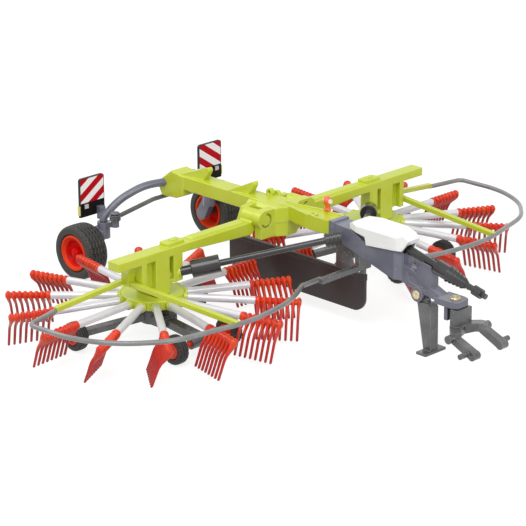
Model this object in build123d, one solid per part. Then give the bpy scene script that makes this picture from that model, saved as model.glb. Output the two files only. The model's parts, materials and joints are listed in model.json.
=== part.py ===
from build123d import *
import os
from math import cos, radians, sin

# Toy rotary hay rake with two rotors, 1:32, millimetres.
# Travel is towards -Y, the machine's left is +X, up is +Z and the wheels stand on z = 0.
# Along Y every place is measured from the fold axis plane of the two booms; the finished
# pieces are then moved by shift_y, so that the whole rake is centred on y = 0.

os.makedirs("parts", exist_ok=True)

# ---------------------------------------------------------------- driving sizes
# clearances
run_gap = 0.08          # radial play of a shaft in its hole
face_gap = 0.3          # play between faces that turn past each other

# booms
fold_x = 12.8           # fold axis, each side of the middle
fold_z = 39.0
fold_pin_r = 1.5
eye_r = 3.4
eye_half = 3.5          # half the eye's length along the fold axis
lug_t = 2.7             # rear lug
front_lug_t = 3.7
front_lug_x = 15.0      # outer edge of the front lug, below its round end
front_lug_r = 3.8
groove_in_r = 2.2  # C-shaped groove in the front lug's face
groove_out_r = 3.1
beam_end_x = 88.4
beam_half = 3.35
beam_top_z = 38.0
beam_depth = 3.55
beam_root_x = 16.6
beam_root_depth = 5.4
beam_taper_x = 50.0     # outside this the beam keeps its depth
saddle_x = 57.5         # raised block on the beam
saddle_len = 9.0
saddle_h = 1.7
rib_w = 4.4             # flat rib on the beam's inner half
rib_h = 0.8
edge_r = 0.35           # rounding of cast edges

# rotors
rotor_x = 64.4
rotor_y = 4.2
arm_count = 14
arm_root_z = 17.2  # where the arms' lines meet the rotor axis
arm_droop = 1.5  # degrees down from level
arm_r = 1.57
phase_right = 2.0  # degrees that the first arm stands turned from straight left
phase_left = 2.4
socket_r = 2.1
socket_in = 9.5
socket_out = 14.0
socket_block = 1.9      # half the width of the sockets' square inner parts
comb_in = 41.0
comb_out = 59.4
comb_core_r = 1.3
comb_collar_r = 2.1
comb_collar_len = 1.6
tine_count = 8
tine_t = 1.05
tine_drop = 14.1  # from the comb bar's middle to the tine tips
hub_r = 12.6
hub_low_z = 15.0
hub_top_z = 19.0
axle_r = 3.0

# gearbox bracket under each boom
bracket_low_z = 23.2
column_low_z = 19.3
column_in = -2.7        # the broad column, outwards from the rotor axis
column_out = 4.8
web_recess = 2.6        # the web behind the column's front face
inner_in = -9.6         # the narrow inner column
inner_out = -4.8
plate_in = 9.4          # the outer plate
plate_out = 11.9
plate_step_z = 29.0     # above this the plate reaches back to its root lug
lug_out = 15.4          # lug that the struts start from
lug_low_z = 25.4

# guard round each rotor
guard_z = 22.5
guard_drop_left = 1.9   # the left guard hangs lower and stands a little further round
guard_turn_left = 5.5
guard_tube_r = 1.0
guard_path = ((47.5, 3.4), (64.4, -1.4), (62.9, -24.0), (53.5, -41.0), (37.5, -52.6),
              (3.0, -58.4), (-23.0, -54.2), (-39.0, -44.9), (-49.6, -44.6))
guard_bends = (3.2, 40.0, 40.0, 30.0, 60.0, 50.0, 3.0)
strut_w = 2.2
strut_t = 1.9
strut_lift = 0.5        # the struts' ends above the tube's middle
strut_root = (14.0, 1.6, 26.4)      # from the rotor axis, outwards and rearwards; height
strut_end = (9.0, -57.6)            # front strut, on the tube

# small wheels under each rotor
small_r = 5.9
small_w = 4.6
small_rim_r = 3.3
small_axle_r = 1.1
front_small_x = 14.5    # from the rotor axis
front_small_y = -28.4
rear_small_x = 32.0
rear_small_y = 10.2
cradle_low_z = 6.6
cradle_top_z = 12.0
collar_r = 6.4

# rear axle
wheel_x = 39.5
wheel_y = 76.5
wheel_r = 11.9
wheel_w = 10.2
rim_r = 7.85
stub_r = 1.5
king_x = 31.0
king_y = 71.5
king_r = 1.2
king_low_z = 18.5
boss_r = 2.8
boss_low_z = 17.2
tube_r = 1.7
tube_end_z = 24.6
tube_path = ((4.0, 61.6, 38.1), (13.5, 65.0, 37.8), (24.5, 69.0, 33.0))
tube_bend_r = 26.0
tube_foot_r = 2.0
tube_foot_h = 1.4       # the tube's upright foot above the kingpin
tie_y = 64.0
tie_z = 27.9
tie_rise = 3.0          # the rod's middle above its eyes
tie_level_x = 9.0       # half of its level middle
tie_bend_r = 12.0
tie_r = 1.0
tie_eye_half = 1.2
tie_wall = 1.1
tie_pin_r = 0.9
tie_play = 0.4          # the tie rod's eyes are loose by this, radially
board_in_x = 27.8
board_out_x = 41.3
board_y = 74.2
board_t = 1.2
board_low_z = 27.5
board_top_z = 44.6

# middle frame
block_half_x = 7.6
block_half_y = 8.8
block_shoulder_y = -7.3     # the block's front tapers from here to its nose
block_nose_y = -10.5
block_seam_z = 36.4
block_chamfer = 1.4
block_low_z = 30.6
block_top_z = 42.8
spine_half = 4.3        # rear beam
spine_low_z = 37.0
spine_top_z = 43.0
tail_y = 50.0           # rear block begins
tail_end_y = 58.4
tail_half = 4.8
tail_low_z = 34.2
fin_h = 5.6
fin_tip = 0.9           # half the width of the fins' tips
neck_y = -35.3          # front face of the tongue, against the drawbar's collar
neck_half = 4.8
neck_low_z = 37.3
neck_top_z = 43.4
waist_half = 2.6
waist_y = -12.0         # the tongue widens from here to its front
flare_y = -22.0
rim_t = 0.8             # raised rims along the tongue's edges

# drawbar
collar_t = 2.7
collar_half = 4.6
bar_half = 2.3          # the slim front beam
body_half = 4.0
body_corner_y = -69.8   # the body's sides end here and its front narrows
body_front_y = -73.5
body_front_half = 2.3
body_low_z = 27.0
body_front_top_z = 38.4
post_front_y = -87.9
post_rear_y = -80.0
post_top_z = 36.4
web_half = 0.8          # thin web between the body and the post
tab_rear_y = -94.8      # hanging tab in front of the stand
tab_front_y = -96.5
tab_low_z = 16.4
bar_rear = (-41.5, 35.4)    # the straight underside, behind and in front
bar_front = (-65.6, 28.1)
clevis_half = 4.4
clevis_front_y = -102.6
clevis_low_z = 22.8
clevis_top_z = 25.4
hitch_y = -98.5         # vertical pivot
hitch_pin_r = 1.3
stand_y = -80.9         # stand pivot
stand_z = 23.2
stand_pin_r = 1.1
lug_r = 3.0

# cowl
cowl_half = 4.7
cowl_wall = 1.0
cowl_nose_half = 3.0
cowl_low_rear = (-55.6, 37.9)    # the cowl's lower edge lies on the drawbar
cowl_low_front = (-73.8, 39.5)
cowl_seat_half = 3.1     # the drawbar's core inside the cowl

# hitch fork
fork_block_half = 4.5
fork_block_front = -103.4
fork_block_rear = -99.6
fork_block_low_z = 15.4
fork_arm_x = 8.3
fork_arm_half = 1.8
fork_nose_r = 1.8
fork_nose_y = -115.6
fork_nose_z = 8.8
fork_pin_r = 1.1
fork_pin_x = 14.4       # outer end of the pins
fork_pin_y = -113.5
fork_pin_z = 9.3
fork_knob_y = -105.4
fork_knob_z = 13.4
fork_knob_x = 12.1      # outer end of the knobs
fork_knob_r = 1.7

# stand
leg_half = 2.25
leg_wall = 0.8
leg_top_z = 20.4
leg_rear = 0.1          # its top's rear and front edge, in front of the pivot
leg_front = 7.1
leg_foot_rear = 3.7     # rear edge at the foot
foot_half_x = 6.1
foot_ahead = 2.0        # the foot's middle in front of the leg's rear edge
foot_half_y = 2.6
foot_t = 1.2

# front shaft
shaft_y = -71.6         # the pin that it swings on
shaft_z = 40.4
shaft_drop = 13.9       # degrees below level
shaft_eye_r = 1.9
shaft_eye_half = 1.9
shaft_pin_r = 0.8
shaft_r = 1.6
groove_r = 2.1

# swath curtain
curtain_front_y = -51.5
curtain_rear_y = 26.0
curtain_low_z = 7.0
curtain_top_z = 23.2
curtain_t = 1.2
curtain_corner = 6.0
curtain_rim_t = 1.9      # the thicker rim along its top
curtain_rim_h = 1.6
hanger_rear_y = -35.9
hanger_front_y = -45.0
rod_y = -50.0           # the cross rod; the hanger's hook and the curtain hold it
rod_z = 26.6
rod_w = 2.4
rod_out_x = -24.6

# cross shafts from the drawbar to the gearboxes
cross_in = (6.2, -43.6, 38.8)
cross_out = (55.6, -2.7, 26.7)
cross_rod_r = 1.35
cross_sleeve_r = 3.6
cross_sleeve_len = 11.6
cross_sleeve_gap = 4.4  # from the gearbox's face to the sleeve
cross_neck_r = 1.9
cross_knob_r = 2.9

# ---------------------------------------------------------------- worked out from them
front_y = fork_nose_y - fork_nose_r
rear_y = wheel_y + wheel_r
shift_y = -(front_y + rear_y) / 2
eye_bore_r = fold_pin_r + run_gap
sides = (("right", -1), ("left", 1))


# ---------------------------------------------------------------- small helpers
def line_z(p, q, y):
    """The height, at y, of the line through two (y, z) points."""
    return p[1] + (y - p[0]) * (q[1] - p[1]) / (q[0] - p[0])


def block(x0, x1, y0, y1, z0, z1):
    """A box between two corners."""
    middle = Pos((x0 + x1) / 2, (y0 + y1) / 2, (z0 + z1) / 2)
    return middle * Box(abs(x1 - x0), abs(y1 - y0), abs(z1 - z0))


def rod(p, q, r, top_r=None):
    """A round bar, or a cone, from point p to point q."""
    along = Vector(*q) - Vector(*p)
    low = (Align.CENTER, Align.CENTER, Align.MIN)
    if top_r is None:
        solid = Cylinder(r, along.length, align=low)
    else:
        solid = Cone(r, top_r, along.length, align=low)
    return Plane(origin=p, z_dir=along) * solid


def bar(p, q, width, height):
    """A flat bar from p to q, its width level and its height upright."""
    along = Vector(*q) - Vector(*p)
    level = Vector(0, 0, 1).cross(along)
    if level.length < 1e-6:
        level = Vector(1, 0, 0)
    low = (Align.CENTER, Align.CENTER, Align.MIN)
    return Plane(origin=p, x_dir=level, z_dir=along) * Box(width, height, along.length, align=low)


def soft(shape, r=edge_r):
    """The same shape with all its edges rounded."""
    return fillet(shape.edges(), r)


def side_plate(points, x0, x1):
    """A profile of (y, z) points, from x0 to x1."""
    face = make_face(Polyline(*[(y, z) for y, z in points], close=True))
    plane = Plane(origin=(min(x0, x1), 0, 0), x_dir=(0, 1, 0), z_dir=(1, 0, 0))
    return extrude(plane * face, amount=abs(x1 - x0))


def front_plate(points, y0, y1):
    """A profile of (x, z) points, from y0 to y1."""
    face = make_face(Polyline(*[(x, z) for x, z in points], close=True))
    plane = Plane(origin=(0, max(y0, y1), 0), x_dir=(1, 0, 0), z_dir=(0, -1, 0))
    return extrude(plane * face, amount=abs(y1 - y0))


def top_plate(points, z0, z1):
    """A profile of (x, y) points, from z0 to z1."""
    face = make_face(Polyline(*points, close=True))
    return extrude(Plane.XY.offset(z0) * face, amount=z1 - z0)


def bent_tube(points, radii, r):
    """A round tube along straight runs joined by tangent arcs."""
    path = FilletPolyline(*points, radius=radii)
    start = path % 0
    return sweep(Plane(origin=path @ 0, z_dir=start) * Circle(r), path=path)


def across(x0, x1, y, z, r):
    """A round bar along X."""
    return rod((x0, y, z), (x1, y, z), r)


def upright(x, y, z0, z1, r):
    """A round bar along Z."""
    return rod((x, y, z0), (x, y, z1), r)


# ---------------------------------------------------------------- middle frame
def fin(rear, tip, foot):
    """A wedge on the rear beam that rises and narrows forwards and leans over its foot."""
    top = spine_top_z + fin_h
    profile = [(rear + 1, spine_top_z - 1), (rear, spine_top_z), (tip + 0.9, top), (tip, top - 0.5),
               (tip - 0.1, top - 1.4), (foot, spine_top_z), (foot + 1, spine_top_z - 1)]
    plan = [(-spine_half, rear + 1), (-spine_half, rear - 1), (-fin_tip, tip - 1),
            (fin_tip, tip - 1), (spine_half, rear - 1), (spine_half, rear + 1)]
    return side_plate(profile, -spine_half, spine_half) & top_plate(plan, spine_top_z - 1, top + 1)


def fold_lugs(s):
    """The two lugs of one fold joint, with the pin between them."""
    top = block_top_z - 0.2
    inner = eye_half + face_gap
    face = inner + front_lug_t
    front_profile = [(s * (block_half_x - 1), block_low_z + 0.4), (s * front_lug_x, block_low_z + 0.4),
                     (s * front_lug_x, fold_z - 2), (s * fold_x, fold_z + front_lug_r),
                     (s * (block_half_x - 1), top)]
    lug = front_plate(front_profile, -face, -inner)
    lug += rod((s * fold_x, -face, fold_z), (s * fold_x, -inner, fold_z), front_lug_r)
    front = (s * (fold_x - 0.8), -face - 1, fold_z - 0.5)
    depth = (s * (fold_x - 0.8), -face + 1.5, fold_z - 0.5)
    ring = rod(front, depth, groove_out_r) - rod(front, depth, groove_in_r)
    lug -= ring - block(s * (fold_x - 0.8), s * (fold_x + 5), -face - 2, 0, fold_z - 1.6, fold_z + 5)
    rear_profile = [(s * (block_half_x - 1), block_low_z), (s * (fold_x + 0.8), block_low_z),
                    (s * (fold_x + 3.4), fold_z - 5), (s * (fold_x + 1.6), fold_z - 0.3),
                    (s * fold_x, fold_z + 3.0), (s * (block_half_x - 1), top)]
    lug += front_plate(rear_profile, inner, inner + lug_t)
    reach = inner + 1
    return lug + rod((s * fold_x, -reach, fold_z), (s * fold_x, reach, fold_z), fold_pin_r)


def centre_block(inset, low_z, top_z):
    """The centre block's plan between two heights: square behind, tapered to a nose in front."""
    half = block_half_x - inset
    plan = [(-half, block_half_y), (half, block_half_y), (half, block_shoulder_y + inset),
            (waist_half, block_nose_y + inset), (-waist_half, block_nose_y + inset),
            (-half, block_shoulder_y + inset)]
    return top_plate(plan, low_z, top_z)


def make_main_frame():
    body = centre_block(0, block_seam_z, block_top_z)
    ridges = body.edges().filter_by(Axis.Y).group_by(Axis.Z)[-1]
    body = chamfer(ridges, block_chamfer)
    body += centre_block(0.2, block_low_z, block_seam_z)
    body += soft(block(-spine_half, spine_half, 0, tail_y + 1, spine_low_z, spine_top_z))
    tail = [(tail_y, tail_low_z), (tail_y, spine_top_z), (57.4, spine_top_z + 1.1),
            (tail_end_y + 4.6, 39.8), (tail_end_y + 7.6, 36.8), (tail_end_y + 4.8, 31.8),
            (tail_end_y - 4, 32.4)]
    body += soft(side_plate(tail, -tail_half, tail_half), 0.5)
    side = [(s * x, y) for s, x, y in ((-1, waist_half, -5), (1, waist_half, -5),
                                       (1, waist_half, waist_y), (1, neck_half, flare_y),
                                       (1, neck_half, neck_y), (-1, neck_half, neck_y),
                                       (-1, neck_half, flare_y), (-1, waist_half, waist_y))]
    body += top_plate(side, neck_low_z, neck_top_z - rim_t)
    rims = top_plate(side, neck_top_z - rim_t - 0.5, neck_top_z)
    hollow = [(x - rim_t if x > 0 else x + rim_t, y) for x, y in side]
    body += rims - top_plate(hollow, neck_top_z - rim_t, neck_top_z + 1)
    body += upright(-3.0, -25.0, neck_top_z - 1.2, neck_top_z + 0.4, 1.9)
    body -= upright(-3.0, -25.0, neck_top_z - 1.0, neck_top_z + 1, 0.9)
    body += fin(54.0, 37.5, 40.3)
    body += fin(22.6, 10.4, 13.2)
    ring = across(3.4, 5.2, 6.4, block_top_z + 1.2, 1.7)
    body += ring - across(3.0, 6.0, 6.4, block_top_z + 1.3, 0.8)
    body += across(7.0, 8.6, 6.0, block_top_z - 0.6, 1.9)
    for _, s in sides:
        body += fold_lugs(s)
    return body


def make_latch():
    low = neck_top_z
    top = neck_top_z + 6.0
    base = block(3.6, 5.4, -27.6, -24.4, low, low + 1.0)
    stem = rod((4.5, -26.0, low), (4.5, -26.0, top - 2.2), 1.1, 0.8)
    head = rod((4.5, -27.6, top - 2.0), (4.5, -24.4, top - 2.0), 2.0)
    return base + stem + soft(head, 0.5)


# ---------------------------------------------------------------- drawbar and its fittings
def make_drawbar():
    front = neck_y - collar_t
    body = soft(block(-collar_half, collar_half, front, neck_y, 36.8, 43.6))
    under = [(front, 36.8), (front, 42.8), (-46.5, 42.2), (-54.2, 38.4), cowl_low_rear,
             (body_corner_y, line_z(cowl_low_rear, cowl_low_front, body_corner_y)),
             (body_corner_y, body_low_z), bar_front, bar_rear]
    body += side_plate(under, -body_half, body_half)
    nose = [(-body_half, body_corner_y + 0.5), (-body_half, body_corner_y),
            (-body_front_half, body_front_y + 0.6), (-body_front_half, body_front_y),
            (body_front_half, body_front_y), (body_front_half, body_front_y + 0.6),
            (body_half, body_corner_y), (body_half, body_corner_y + 0.5)]
    body += top_plate(nose, body_low_z, body_front_top_z)
    inner = cowl_seat_half
    core = [(-47.0, 42.0), (-50.0, 43.2), (-68.0, 43.2), (shaft_y - 1.6, 42.4),
            (shaft_y - 1.6, 38.0), (-60.0, 37.0)]
    body += side_plate(core, -inner, inner)
    slot = shaft_eye_half + face_gap
    body -= block(-slot, slot, shaft_y - 4, shaft_y + shaft_eye_r + 0.8, shaft_z - 2.6, 50)
    body += across(-inner, inner, shaft_y, shaft_z, shaft_pin_r)
    slim = [(body_corner_y - 0.5, body_low_z), (body_front_y, 33.4), (-78.7, 32.4), (-88.0, 27.4),
            (-93.0, clevis_top_z), (tab_front_y, clevis_top_z), (tab_front_y, tab_low_z),
            (tab_rear_y, tab_low_z), (tab_rear_y, 22.2), (-77.0, 25.4)]
    body += side_plate(slim, -bar_half, bar_half)
    for s in (-1, 1):
        recess = [(-75.4, 31.0), (-78.7, 30.9), (-86.6, 26.9), (-85.0, 25.6), (-76.4, 27.6)]
        body -= side_plate(recess, s * (bar_half - 0.4), s * (bar_half + 1))
    head = [(-clevis_half, -91.5), (clevis_half, -91.5), (clevis_half, -99.5), (3.5, clevis_front_y),
            (-3.5, clevis_front_y), (-clevis_half, -99.5)]
    plate = top_plate(head, clevis_low_z, clevis_top_z)
    body += fillet(plate.edges().filter_by(Axis.Z).group_by(Axis.Y)[0], 1.6)
    body -= upright(0, hitch_y, 20.0, 27.0, hitch_pin_r + run_gap)
    body -= block(-bar_half - 1, bar_half + 1, tab_front_y - 8, tab_front_y, 10, clevis_low_z)
    post = [(post_rear_y, 30.0), (post_rear_y, 33.4), (-83.3, post_top_z + 0.8),
            (post_front_y, post_top_z), (post_front_y, 26.0)]
    body += soft(side_plate(post, -bar_half, bar_half))
    web = [(body_front_y + 0.5, 31.0), (body_front_y + 0.5, 38.2), (-75.4, 38.2),
           (-83.0, post_top_z + 0.2), (-83.0, 29.0)]
    window = [(-75.2, 32.9), (-75.2, 36.6), (-76.6, 37.0), (-78.6, 35.4), (-79.2, 32.9)]
    body += side_plate(web, -web_half, web_half) - side_plate(window, -2, 2)
    for s in (-1, 1):
        cheek = across(s * 1.3, s * (bar_half + 0.4), stand_y, stand_z, lug_r)
        cheek += block(s * 1.3, s * bar_half, stand_y - 2.6, stand_y + 2.6, stand_z, stand_z + 3.4)
        body += cheek
    body -= block(-1.3, 1.3, stand_y - 5.4, stand_y + 3.6, 18.0, stand_z + 3.1)
    body -= across(-4.0, 4.0, stand_y, stand_z, stand_pin_r + run_gap)
    near = on_shaft(2.4)
    far = on_shaft(18.0)
    body -= rod(near, far, groove_r)
    body -= side_plate([near[1:], (near[1], near[2] + 9), (far[1], far[2] + 9), far[1:]],
                       -groove_r, groove_r)
    return body


def on_shaft(distance):
    """A point on the front shaft's axis, so far forward of its pin."""
    down = radians(shaft_drop)
    return (0, shaft_y - distance * cos(down), shaft_z - distance * sin(down))


def make_cowl():
    """The white cowl: a faceted shell, closed to a point in front above the shaft."""
    outline = [(-46.0, 42.6), (-46.0, 44.8), (-50.1, 47.0), (-57.9, 48.2), (-70.8, 47.8),
               (-77.0, 44.2), cowl_low_front, cowl_low_rear, (-54.8, 41.2)]
    shell = side_plate(outline, -cowl_half, cowl_half)
    plan = [(-cowl_half + 1.2, -45.0), (cowl_half - 1.2, -45.0), (cowl_half, -50.0),
            (cowl_half, -71.5), (cowl_nose_half, -78.0), (-cowl_nose_half, -78.0),
            (-cowl_half, -71.5), (-cowl_half, -50.0)]
    shell &= top_plate(plan, 30.0, 60.0)
    for s in (-1, 1):
        facet = front_plate([(s * 2.4, 52.0), (s * 2.4, 48.4), (s * 4.9, 44.2), (s * 9.0, 44.2),
                             (s * 9.0, 52.0)], -80.0, -40.0)
        shell -= facet
    cut = [(-40.0, 30.0), (-40.0, 43.4), (-50.4, 45.2), (-58.0, 45.8), (-70.4, 45.4),
           (-75.4, 42.8), (-75.4, 30.0)]
    inner = cowl_half - cowl_wall
    hollow = side_plate(cut, -inner, inner)
    roof = [(-inner, 30.0), (inner, 30.0), (inner, 43.0), (1.6, 46.0), (-1.6, 46.0), (-inner, 43.0)]
    hollow &= front_plate(roof, -80.0, -39.0)
    nose = [(-inner, -39.0), (inner, -39.0), (inner, -71.0), (cowl_nose_half - 0.6, -76.0),
            (0.6 - cowl_nose_half, -76.0), (-inner, -71.0)]
    return shell - (hollow & top_plate(nose, 29.0, 50.0))


def make_hitch_rivet():
    rivet = upright(0, hitch_y, fork_block_low_z + 1.8, clevis_top_z + 0.3, hitch_pin_r)
    head = upright(0, hitch_y, clevis_top_z, clevis_top_z + 0.7, 2.1)
    return rivet + chamfer(head.edges().group_by(Axis.Z)[-1], 0.3)


def make_stand_rivet():
    rivet = across(-bar_half - 0.4, bar_half + 0.4, stand_y, stand_z, stand_pin_r)
    for s in (-1, 1):
        rivet += across(s * (bar_half + 0.4), s * (bar_half + 0.9), stand_y, stand_z, 1.8)
    return rivet


def make_curtain():
    height = curtain_top_z - curtain_low_z
    length = curtain_rear_y - curtain_front_y
    sheet = Pos(0, (curtain_rear_y + curtain_front_y) / 2, (curtain_top_z + curtain_low_z) / 2)
    sheet *= Box(curtain_t, length, height)
    low = sheet.edges().filter_by(Axis.X).group_by(Axis.Z)[0]
    sheet = fillet(low, curtain_corner)
    half = curtain_rim_t / 2
    sheet += soft(block(-half, half, curtain_front_y, curtain_rear_y, curtain_top_z - curtain_rim_h,
                        curtain_top_z), 0.3)
    front = curtain_front_y + 0.9
    return sheet + upright(0, front, curtain_top_z - 2.4, curtain_top_z, 1.3)


def bar_under(y):
    """The height of the drawbar's sloping underside."""
    return line_z(bar_rear, bar_front, y)


def make_hanger():
    """The plate under the drawbar that carries the curtain, with a hook for the cross rod."""
    front = neck_y - collar_t
    hook = rod_y + 6.0
    outline = [(hanger_rear_y, curtain_top_z), (hanger_rear_y, 36.8), (front, 36.8), bar_rear,
               (hanger_front_y, bar_under(hanger_front_y)), (hanger_front_y, rod_z + 2.4),
               (hook, rod_z + 1.2), (hook, curtain_top_z)]
    return side_plate(outline, -0.9, 0.9)


def make_rod():
    low = rod_z - rod_w / 2
    top = rod_z + rod_w / 2
    arm = soft(block(rod_out_x, 3.6, rod_y - rod_w / 2, rod_y + rod_w / 2, low, top), 0.3)
    front = rod_y - rod_w / 2
    rear = rod_y + rod_w / 2
    arm += side_plate([(front, rod_z), (rear, rod_z), (rear, bar_under(rear)),
                       (front, bar_under(front))], -3.6, 3.6)
    arm += block(-curtain_t / 2, curtain_t / 2, front, rear, curtain_top_z, rod_z)
    return arm


# ---------------------------------------------------------------- booms
def make_boom(s):
    profile = [(s * beam_end_x, beam_top_z), (s * beam_end_x, beam_top_z - beam_depth),
               (s * beam_taper_x, beam_top_z - beam_depth),
               (s * beam_root_x, beam_top_z - beam_root_depth),
               (s * (fold_x + 1.0), fold_z - eye_r + 0.3), (s * (fold_x + 1.0), fold_z + eye_r - 0.3),
               (s * beam_root_x, beam_top_z)]
    boom = front_plate(profile, -beam_half, beam_half)
    along = boom.edges().filter_by(lambda edge: abs(edge.tangent_at(0.5).Y) < 0.5)
    outer = along.filter_by(lambda edge: abs(edge.center().X) > beam_root_x + 1)
    boom = fillet(outer, edge_r)
    boom += rod((s * fold_x, -eye_half, fold_z), (s * fold_x, eye_half, fold_z), eye_r)
    boom -= rod((s * fold_x, -9, fold_z), (s * fold_x, 9, fold_z), eye_bore_r)
    half = saddle_len / 2
    boom += soft(block(s * (saddle_x - half), s * (saddle_x + half), -2.6, 2.6,
                       beam_top_z - 1.5, beam_top_z + saddle_h), 0.5)
    boom += block(s * (saddle_x - 2.2), s * (saddle_x + 1.0), -1.2, 1.2,
                  beam_top_z, beam_top_z + saddle_h + 0.5)
    rib = block(s * 19.0, s * (saddle_x - saddle_len), -rib_w / 2, rib_w / 2,
                beam_top_z - 0.5, beam_top_z + rib_h)
    boom += chamfer(rib.edges().group_by(Axis.Z)[-1], 0.4)
    boom += make_bracket(s)
    start, end, way = cross_line(s)
    boom += rod(tuple(end), tuple(end + way * 5), cross_neck_r + 0.1)
    return boom - rod(tuple(end - way * 24), tuple(end), cross_neck_r + 0.05)


def make_bracket(s):
    """The gearbox bracket under a beam: outer plate, web, broad column and inner column."""
    top = beam_top_z - beam_depth + 0.5
    face = -beam_half

    def x(offset):
        return s * (rotor_x + offset)

    plate = block(x(plate_in), x(plate_out), face, 1.1, bracket_low_z, top)
    plate += block(x(plate_in), x(plate_out), face, 5.1, plate_step_z, top - 0.8)
    bracket = soft(plate, 0.25)
    bracket += block(x(column_in), x(plate_out - 1), face + web_recess, 1.8, bracket_low_z, top)
    bracket += block(x(inner_in + 1), x(column_in + 1), 0.9, 1.8, bracket_low_z, top)
    bracket += soft(block(x(column_in), x(column_out), face, 1.8, column_low_z, top))
    bracket += block(x(column_in), x(column_out), 1.0, rotor_y + 4.4, column_low_z, top)
    bracket += soft(block(x(inner_in), x(inner_out), face, 1.8, bracket_low_z, top), 0.25)
    bracket += block(x(inner_out - 1), x(column_in + 1), face + 0.5, 1.8, bracket_low_z, 24.8)
    lug = [(x(plate_in), 1.4), (x(lug_out), 1.4), (x(lug_out), 5.6), (x(plate_in), 5.1)]
    return bracket + soft(top_plate(lug, lug_low_z, plate_step_z + 2), 0.25)


def cross_line(s):
    """The cross shaft's two ends and the direction from the inner to the outer one."""
    inner = Vector(s * cross_in[0], cross_in[1], cross_in[2])
    outer = Vector(s * cross_out[0], cross_out[1], cross_out[2])
    return inner, outer, (outer - inner).normalized()


def guard_place(s, dx, dy, lift=0.0):
    """A point of the guard, from the rotor axis: dx outwards and dy rearwards."""
    drop = guard_drop_left if s > 0 else 0
    turn = radians(guard_turn_left) if s > 0 else 0
    across_x = dx * cos(turn) - dy * sin(turn)
    along_y = dx * sin(turn) + dy * cos(turn)
    return (s * (rotor_x + across_x), rotor_y + along_y, guard_z - drop + lift)


def make_struts(s):
    """The two flat struts that carry the guard."""
    root = (s * (rotor_x + strut_root[0]), rotor_y + strut_root[1], strut_root[2])
    front = guard_place(s, *strut_end, strut_lift)
    rear = guard_place(s, *guard_path[0], strut_lift)
    struts = bar(root, front, strut_w, strut_t) + bar(root, rear, strut_w, strut_t)
    return struts - make_guard(s) - make_bracket(s)


def make_guard(s):
    """The guard tube: a hook at the outer end, a long bow round the rotor and a tail."""
    points = [guard_place(s, dx, dy) for dx, dy in guard_path]
    return bent_tube(points, list(guard_bends), guard_tube_r)


def make_cross_shaft(s):
    """The shaft from the drawbar to the gearbox: ribbed knob, rod and sleeve."""
    inner, outer, way = cross_line(s)
    total = (outer - inner).length
    sleeve = total - cross_sleeve_gap - cross_sleeve_len

    def at(distance):
        return tuple(inner + way * distance)

    shaft = rod(at(0), at(6.6), cross_knob_r - 0.4)
    for k in range(4):
        shaft += rod(at(0.6 + 1.6 * k), at(1.4 + 1.6 * k), cross_knob_r)
    shaft += rod(at(3.0), at(total - 1.0), cross_rod_r)
    shaft += soft(rod(at(sleeve), at(sleeve + cross_sleeve_len), cross_sleeve_r), 0.3)
    shaft += rod(at(total - cross_sleeve_gap - 1), at(total), cross_neck_r)
    return shaft


# ---------------------------------------------------------------- rotors
def on_arms(piece, s):
    """Copies of a piece made along +X, set on the drooping arms of one rotor."""
    phase = phase_left if s > 0 else phase_right
    copies = []
    for k in range(arm_count):
        place = Pos(s * rotor_x, rotor_y, arm_root_z) * Rot(0, 0, 360 * k / arm_count + phase)
        copies.append(place * Rot(0, arm_droop, 0) * piece)
    return copies


def make_hub(s):
    """A rotor's hub: a flat drum with a ridged socket for each arm."""
    drum = upright(s * rotor_x, rotor_y, hub_low_z, hub_top_z, hub_r)
    hub = chamfer(drum.edges().filter_by(GeomType.CIRCLE), 0.4)
    middle = (socket_in + socket_out) / 2
    clip = block(socket_in, middle + 0.4, -socket_block, socket_block, -1.7, 1.7)
    clip += rod((middle - 1, 0, 0), (socket_out, 0, 0), socket_r - 0.25)
    clip += rod((socket_out - 1.2, 0, 0), (socket_out, 0, 0), socket_r)
    for socket in on_arms(clip, s):
        hub += socket
    return hub - upright(s * rotor_x, rotor_y, 10, 30, axle_r + run_gap)


def make_arms(s):
    return Compound(on_arms(rod((socket_out, 0, 0), (comb_in, 0, 0), arm_r), s))


def make_comb(lean):
    """One comb along +X: ribbed bar and eight tines that lean towards +Y times lean."""
    pitch = (comb_out - comb_in) / tine_count
    comb = rod((comb_in, 0, 0), (comb_out, 0, 0), comb_core_r)
    comb += rod((comb_in, 0, 0), (comb_in + comb_collar_len, 0, 0), comb_collar_r)
    foot = -tine_drop
    outline = [(2.4, 0.8), (1.5, 1.6), (-1.5, 1.6), (-2.4, 0.6), (-2.3, -1.2), (-1.3, -2.4),
               (0.3, -3.3), (2.7, -4.9), (3.8, -6.8), (4.6, -9.2), (6.3, foot), (7.5, foot),
               (5.7, -9.2), (4.3, -5.0), (3.4, -2.6)]
    face = make_face(Polyline(*[(lean * y, z) for y, z in outline], close=True))
    for k in range(tine_count):
        middle = comb_in + (k + 0.5) * pitch
        plane = Plane(origin=(middle - tine_t / 2, 0, 0), x_dir=(0, 1, 0), z_dir=(1, 0, 0))
        comb += extrude(plane * face, amount=tine_t)
    return comb


def make_combs(s):
    return Compound(on_arms(make_comb(s), s))


def make_rotor_axle(s):
    return upright(s * rotor_x, rotor_y, cradle_top_z, column_low_z, axle_r)


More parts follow.
